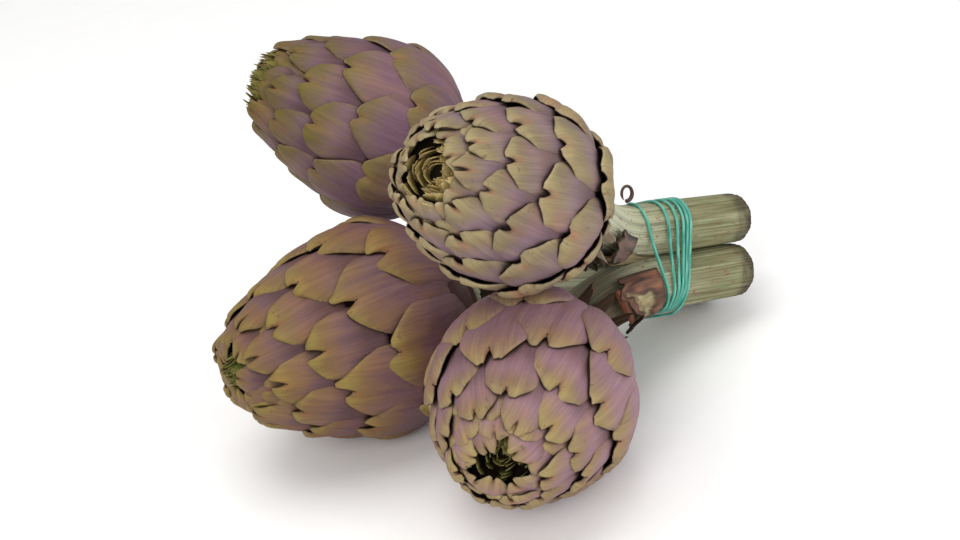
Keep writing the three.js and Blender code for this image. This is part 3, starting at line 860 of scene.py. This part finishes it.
def head_direction(head):
    turn, rise = math.radians(head["azimuth"]), math.radians(head["elevation"])
    return Vector((math.cos(rise) * math.cos(turn), math.cos(rise) * math.sin(turn), math.sin(rise)))


def make_head(name):
    """A head is made upright on the origin and then placed on its stem."""
    head, look = HEADS[name], LOOKS[name]
    random = np.random.default_rng(look["seed"])
    profile = Profile(head)
    work = Patchwork()
    add_core(work, profile, head)
    add_outer_bracts(work, profile, head, look, random)
    add_collar_bracts(work, profile, head, look, random)
    for index in range(look["mouth"]["count"]):
        add_mouth_bract(work, profile, head, look, index, random)
    for scrap in look["scraps"]:
        add_base_scrap(work, head, scrap, random)
    turn = UP.rotation_difference(head_direction(head)) @ Quaternion(UP, math.radians(head["spin"]))
    work.place(turn, head["base"])
    add_piece(f"artichoke_{name}", work, bract_material(f"bract_skin_{name}", look), f"head_{name}")


# ---- stems

BUNDLE_FORWARD = Vector((math.cos(BUNDLE_SLOPE), 0, math.sin(BUNDLE_SLOPE)))
BUNDLE_UPRIGHT = Vector((-math.sin(BUNDLE_SLOPE), 0, math.cos(BUNDLE_SLOPE)))
BUNDLE_UP = Matrix.Rotation(-BUNDLE_ROLL, 3, BUNDLE_FORWARD) @ BUNDLE_UPRIGHT
BUNDLE_NEAR = -BUNDLE_UP.cross(BUNDLE_FORWARD)


def in_bundle(along, up, near):
    return BUNDLE_START + BUNDLE_FORWARD * along + BUNDLE_UP * up + BUNDLE_NEAR * near


def stem_middle(stem, along=0):
    return in_bundle(along, stem["up"] * STEM_SPACING, stem["near"] * STEM_SPACING)


class Route:
    """A smooth path through points, by the share of its length."""

    def __init__(self, points):
        self.points = np.array(points)
        distance = distances(self.points)
        self.length = distance[-1]
        self.share = distance / self.length
        self.forward = np.gradient(self.points, distance, axis=0)

    def spokes(self, share, angle):
        """Places on the path, the way onwards, and the way out at an angle round the path."""
        place = interpolated(share, self.share, self.points)
        forward = unit(interpolated(share, self.share, self.forward))
        across = unit(np.cross(BUNDLE_UP, forward))
        out = np.cross(forward, across)
        return place, forward, np.cos(angle)[..., None] * across + np.sin(angle)[..., None] * out


def stem_route(name):
    """A stem's middle: a curve from its head into the bundle, and then a straight."""
    stem, head = STEMS[name], HEADS[name]
    away = -head_direction(head)
    start = Vector(head["base"]) + away * CLEARANCE
    joins = stem_middle(stem, stem["parallel_from"])
    end = stem_middle(stem, BUNDLE_LENGTH + stem["trim"])
    reach = (joins - start).length * 0.4
    handles = [start, start + away * reach, joins - BUNDLE_FORWARD * reach, joins]
    points = []
    for t in np.linspace(0, 1, 120):
        blends = [weight * (1 - t) ** (3 - i) * t ** i for i, weight in enumerate((1, 3, 3, 1))]
        points.append(sum((handle * blend for handle, blend in zip(handles, blends)), Vector()))
    points += [joins.lerp(end, t) for t in np.linspace(0, 1, 40)[1:]]
    return Route(points)


def stem_stations(length, radius):
    """Rings of a stem from its head to the middle of its cut end: (share, scale, brown, inset)."""
    rounding = END_ROUNDING / length
    stations = []
    for share in np.linspace(0, 1 - rounding, STEM_STEPS):
        stations.append((share, 1, 0.8 * smoothstep(share, 0.9, 1), 0))
    for turn in np.linspace(0.2, 1, 5) * math.pi / 2:
        scale = 1 - END_ROUNDING / radius * (1 - math.cos(turn))
        stations.append((1 - rounding + rounding * math.sin(turn), scale, 0.75 + 0.25 * math.sin(turn), 0))
    for scale in END_RINGS:
        stations.append((1, scale, 0.75 * scale, 0.5 + 0.4 * (1 - scale)))
    return stations


def make_stem(name, material):
    stem, route = STEMS[name], stem_route(name)
    phases = np.random.default_rng(ord(name)).uniform(0, FULL_TURN, 3)
    angles = even_angles(STEM_SIDES)
    stations = np.array(stem_stations(route.length, stem["radius"]))
    share, scale, brown, inset = stations.T[..., None]
    along = share * route.length
    flare = 1 + FLARE * fading(share, 0, FLARE_LENGTH)
    ribs = RIB_HEIGHT * np.cos(STEM_RIBS * angles)
    ribs = ribs + FINE_RIB_HEIGHTS[0] * np.cos(FINE_RIBS[0] * angles + phases[0] + 0.01 * along)
    ribs += FINE_RIB_HEIGHTS[1] * np.cos(FINE_RIBS[1] * angles + phases[1])
    wobble = 0.2 * np.sin(2 * angles + phases[2] + along * 0.06) + STEM_FULLNESS
    radii = scale * (flare * stem["radius"] + wobble + ribs * (1 - 0.5 * smoothstep(share, 0.9, 1)))
    place, forward, out = route.spokes(share, angles)
    work = Patchwork()
    add_tube(
        work, place + radii[..., None] * out - forward * inset[..., None], "capped",
        grain=spots(angles * stem["radius"], along - inset, ord(name)),
        cut=brown,
        pale=0.8 * fading(share, 0.25, 0.8),
        # Painted shade near the head, fading along the stem.
        dull=stem["dull"] * fading(share, 0.28, 0.5),
    )
    add_piece(f"stalk_{name}", work, material, f"stem_{name}")


# ---- elastic band

def band_outline():
    """One turn round the bundle in even steps: points, outward directions and shares walked."""
    points, outwards = [], []
    for angle in BAND_START + np.linspace(0, FULL_TURN, BAND_TRACE_STEPS + 1):
        outward = BUNDLE_UP * math.cos(angle) + BUNDLE_NEAR * math.sin(angle)
        stem = max(STEMS.values(), key=lambda stem: stem_middle(stem).dot(outward) + stem["radius"])
        points.append(stem_middle(stem) + outward * (stem["radius"] + BAND_GAP + BAND_HALF_THICKNESS))
        outwards.append(outward)
    walked = distances(np.array(points))
    shares = np.arange(BAND_STEPS_PER_TURN) / BAND_STEPS_PER_TURN
    at = shares * walked[-1]
    outwards = unit(interpolated(at, walked, np.array(outwards)))
    return interpolated(at, walked, np.array(points)), outwards, shares


def band_route():
    """The middle line of the band and its outward directions, over all turns."""
    points, outwards, shares = band_outline()
    centres = []
    for turn in range(BAND_TURNS):
        turns = turn + shares
        left = BAND_TURNS - turns
        crossed = fading(left, *CROSSING)
        ending = fading(left, *LIFTING)
        starting = fading(turns, *STARTING)
        lifted = points + (np.maximum(ending, starting) * BAND_LIFT)[:, None] * outwards
        fan = smoothstep(shares, *FAN_RISE) * fading(shares, *FAN_FALL)
        along = BAND_FROM + BAND_PITCH * (turns - BAND_TURNS * crossed) - BAND_FAN[turn] * fan
        along += BAND_TILT * (lifted - np.array(BUNDLE_START)) @ np.array(BUNDLE_UP)
        centres.append(lifted + along[:, None] * np.array(BUNDLE_FORWARD))
    return np.concatenate(centres), np.concatenate([outwards] * BAND_TURNS)


def make_band(material):
    centres, outwards = band_route()
    forward = unit(np.roll(centres, -1, 0) - np.roll(centres, 1, 0))
    across = unit(np.cross(outwards, forward))
    out = np.cross(forward, across)
    angles = even_angles(BAND_SIDES)
    flat = signed_power(np.cos(angles), BAND_ROUNDNESS) * BAND_HALF_WIDTH
    thick = signed_power(np.sin(angles), BAND_ROUNDNESS) * BAND_HALF_THICKNESS
    points = centres[:, None] + flat[:, None] * across[:, None] + thick[:, None] * out[:, None]
    grain = spots(angles * BAND_GRAIN_RADIUS, distances(centres)[:, None], 0)
    work = Patchwork()
    add_tube(work, points, "joined", grain=grain)
    add_piece("rubber_band", work, material, "elastic_band")


# ---- withered remnants

def add_stub_sheet(work, route, start, end, angle, radius, thickness, **attributes):
    """A sheet round a stem: grids of shares, angles in degrees, radii and thicknesses."""
    rows = len(angle)
    share = start + np.arange(rows)[:, None] / (rows - 1) * (end - start)
    place, _, out = route.spokes(share, np.radians(angle))
    inner = place + radius[..., None] * out
    add_sheet(work, place + (radius + thickness)[..., None] * out, inner, DRY_RIM, **attributes)


def cup_shape(turn, share):
    """The cup where the stalk broke off: 1 in its middle and 0 outside it."""
    across = (turn - 0.2 + 0.12 * np.sin(share * 9)) / 0.6
    along = (share - 0.42 + 0.07 * np.sin(turn * 7)) / 0.26
    return np.exp(-along ** 4 - across ** 4)


def add_stub_skin(work, route, stub, stem_radius, seed):
    """The shrunken skin of a leaf's stalk, round a paler cup where the stalk broke off."""
    turn, share = plain_grid(*STUB_GRID, -1)
    ragged = 0.12 * np.sin(turn * 6 + 1) + 0.06 * np.sin(turn * 15) + 0.03 * np.sin(turn * 31)
    length = stub["end"] - stub["start"]
    stand = stub["stand_off"] * (1 - share) ** 2 * (1.2 + 0.5 * np.sin(turn * 4 + 2))
    inside = stem_radius + STUB_GAP + stand
    cup = cup_shape(turn, share)
    full = stub["thickness"] * (0.3 + 0.7 * (1 - turn ** 2)) * (1 - 0.3 * share ** 3)
    full = full * (1 + 0.14 * np.sin(turn * 9 + 1) + 0.1 * np.sin(share * 8 + turn * 4))
    full = full - np.minimum(stub["cup"] * cup, full - 1.6)
    grain = spots(turn * stem_radius, share * 12, seed)
    margin = np.minimum(np.minimum(1 - np.abs(turn), 4 * share), 3 * (1 - share))
    has_cup = stub["cup"] > 0
    brink = 0.6 * bell(cup - 0.25, 0.2) * has_cup
    add_stub_sheet(
        work, route, stub["start"] + length * ragged, stub["end"],
        stub["middle"] + turn * stub["half_spread"], inside + full - STUB_SKIN, STUB_SKIN,
        grain=grain, cut=0.95 * smoothstep(cup, 0.2, 0.6) * has_cup,
        mauve=stub["mauve"] * smoothstep(share, 0.05, 0.3), red=0,
        dark=np.maximum(0.85 * fading(margin, 0.02, 0.2), brink),
    )
    add_stub_sheet(
        work, route, stub["start"] + length * (0.12 + 0.6 * ragged), stub["end"],
        stub["middle"] + turn * stub["half_spread"] * 0.9, inside, np.maximum(full - 1.3, 0.4),
        grain=grain * 1.7, cut=0.6 * fading(np.abs(turn), 0.55, 0.9), mauve=0, red=0, dark=0.1,
    )


def add_stub_roll(work, route, roll, stem_radius):
    """A strip of skin rolled up on itself, round the side of a stem."""
    around, along = plain_grid(*ROLL_GRID, 0)
    size = roll["size"] * (0.45 + 0.55 * np.sin(math.pi * along) ** 0.7) * (1 - 0.35 * around)
    turned = ROLL_TURN * around + 1.2 + 0.5 * along
    middle = np.radians(lerp(roll["first"], roll["last"], along))
    place, forward, out = route.spokes(roll["share"] + roll["slant"] * along, middle)
    centre = place + (stem_radius + roll["height"]) * out
    way = np.cos(turned)[..., None] * forward + np.sin(turned)[..., None] * out
    add_sheet(
        work, centre + size[..., None] * way, centre + (size - ROLL_SKIN)[..., None] * way, DRY_RIM,
        grain=spots(around * 14, along * 9, 77), cut=0, mauve=0, red=0.75,
        dark=0.8 * fading(np.minimum(around, 1 - around), 0, 0.12),
    )


def add_stub_flake(work, route, flake, stem_radius):
    """A straw-coloured pointed flake that lies along a stem."""
    turn, share = plain_grid(*FLAKE_GRID, -1)
    angle = flake["middle"] + turn * flake["half_spread"] * (1 - 0.85 * share)
    radius = stem_radius + 1.0 + 1.6 * (1 - share) ** 2 + 0.5 * np.sin(turn * 3)
    add_stub_sheet(
        work, route, flake["start"], flake["end"], angle, radius, FLAKE_THICKNESS,
        grain=spots(turn * 6, share * 12, 91), cut=0.85, mauve=0, red=0,
        dark=0.7 * fading(1 - np.abs(turn), 0, 0.2),
    )


def make_stalk_stub(name, material):
    stub, stem_radius = STALK_STUBS[name], STEMS[name]["radius"]
    route = stem_route(name)
    work = Patchwork()
    add_stub_skin(work, route, stub, stem_radius, 5.0 * ord(name))
    if "roll" in stub:
        add_stub_roll(work, route, stub["roll"], stem_radius)
    if "flake" in stub:
        add_stub_flake(work, route, stub["flake"], stem_radius)
    add_piece(f"leaf_stalk_{name}", work, material, f"stalk_stub_{name}")


def make_curl(material):
    """A thin shred that stands on stem B and curls up over its foot, made from its tip down."""
    foot = STEM_SPACING + STEMS["b"]["radius"] + CURL_GAP + CURL_HALF_THICKNESS
    angles = even_angles(CURL_SIDES)
    shares = np.linspace(1, 0, CURL_STEPS)
    rings = []
    for share in shares:
        turn = lerp(*CURL_TURN, share)
        radius = CURL_RADIUS * (1 + 0.1 * share)
        along = CURL_AT + radius * math.cos(turn)
        up = foot + CURL_RADIUS + radius * math.sin(turn)
        place = np.array(in_bundle(along, up, STEM_SPACING - CURL_BACK + CURL_LEAN * share))
        outward = np.array(BUNDLE_FORWARD * math.cos(turn) + BUNDLE_UP * math.sin(turn))
        thick = CURL_HALF_THICKNESS * (1 - 0.45 * share) * min(1, 0.3 + 6 * (1 - share))
        wide = thick * (1.15 + 0.2 * math.sin(share * 9))
        out, aside = thick * np.cos(angles)[:, None], wide * np.sin(angles)[:, None]
        rings.append(place + out * outward + aside * np.array(BUNDLE_NEAR))
    work = Patchwork()
    grain = spots(angles, shares[:, None] * 18, 7)
    add_tube(work, np.array(rings), "capped", grain=grain, cut=0, mauve=0.35, red=0, dark=0.4)
    add_piece("dry_shred", work, material, "dry_curl")


# ---- stage, light and camera

CAMERA_TARGET = Vector((-20.5, -20.7, 76.7))
CAMERA_TOWARD = Vector((-0.4807, -0.7311, 0.4842))
CAMERA_UP = Vector((0.4124, 0.2989, 0.8606))
CAMERA_DISTANCE = 800
CAMERA_LENS = 71.43
CAMERA_SENSOR = 36

# The lights and the floor are in metres. Lights are round and look at the middle of the bunch.
LIGHTS = {
    "overhead": dict(place=(-0.1, 0.1, 1.4), size=1.2, power=8.5, colour=(1, 0.99, 0.97)),
    "front_left": dict(place=(-1.1, -0.8, 0.95), size=0.9, power=8.5, colour=(1, 0.98, 0.96)),
    "front_right": dict(place=(0.3, -1.3, 0.7), size=0.7, power=4.5, colour=(1, 1, 1)),
}
LIGHTS_LOOK_AT = Vector((0, 0, 0.06))
SKY_STRENGTH = 0.62
FLOOR_HALF_SIZE = 6
FLOOR_DROP = 0.0002


def facing(toward, up):
    """A rotation whose local Z looks back along a direction and whose local Y is up."""
    back = toward.normalized()
    right = up.cross(back).normalized()
    return Matrix((right, back.cross(right), back)).transposed().to_4x4()


def make_camera():
    data = bpy.data.cameras.new("camera")
    data.lens = CAMERA_LENS
    data.sensor_width = CAMERA_SENSOR
    data.clip_start = 0.01
    camera = link(bpy.data.objects.new("camera", data))
    place = (CAMERA_TARGET + CAMERA_TOWARD.normalized() * CAMERA_DISTANCE) * MM
    camera.matrix_world = Matrix.Translation(place) @ facing(CAMERA_TOWARD, CAMERA_UP)
    bpy.context.scene.camera = camera


def make_light(name, light):
    data = bpy.data.lights.new(name, "AREA")
    data.shape = "DISK"
    data.size = light["size"]
    data.energy = light["power"]
    data.color = light["colour"]
    place = Vector(light["place"])
    lamp = link(bpy.data.objects.new(name, data))
    lamp.matrix_world = Matrix.Translation(place) @ facing(place - LIGHTS_LOOK_AT, UP)


def make_floor():
    shader = Shader("pale_floor")
    place = shader.node("ShaderNodeTexCoord").outputs["Object"]
    speckle = shader.noise((60, 60, 60), 2, place=place)
    shader.start(speckle, [(0.3, (0.95, 0.95, 0.95)), (0.7, (0.97, 0.97, 0.97))])
    mesh = bpy.data.meshes.new("floor")
    far = FLOOR_HALF_SIZE
    mesh.from_pydata([(-far, -far, 0), (far, -far, 0), (far, far, 0), (-far, far, 0)], [], [(0, 1, 2, 3)])
    mesh.materials.append(shader.finish(Roughness=0.9))
    floor = link(bpy.data.objects.new("floor", mesh))
    floor.location.z = -FLOOR_DROP


def make_sky():
    world = bpy.data.worlds.new("world")
    world.use_nodes = True
    background = world.node_tree.nodes["Background"]
    background.inputs["Color"].default_value = (1, 1, 1, 1)
    background.inputs["Strength"].default_value = SKY_STRENGTH
    bpy.context.scene.world = world


# ---- the bunch

for head_name in HEADS:
    make_head(head_name)
stem_skin = stem_material()
for stem_name in STEMS:
    make_stem(stem_name, stem_skin)
make_band(band_material())
withered_skin = withered_material()
for stub_name in STALK_STUBS:
    make_stalk_stub(stub_name, withered_skin)
make_curl(withered_skin)
make_camera()
make_floor()
make_sky()
for light_name, light_look in LIGHTS.items():
    make_light(light_name, light_look)
bpy.context.scene.view_settings.view_transform = "Standard"
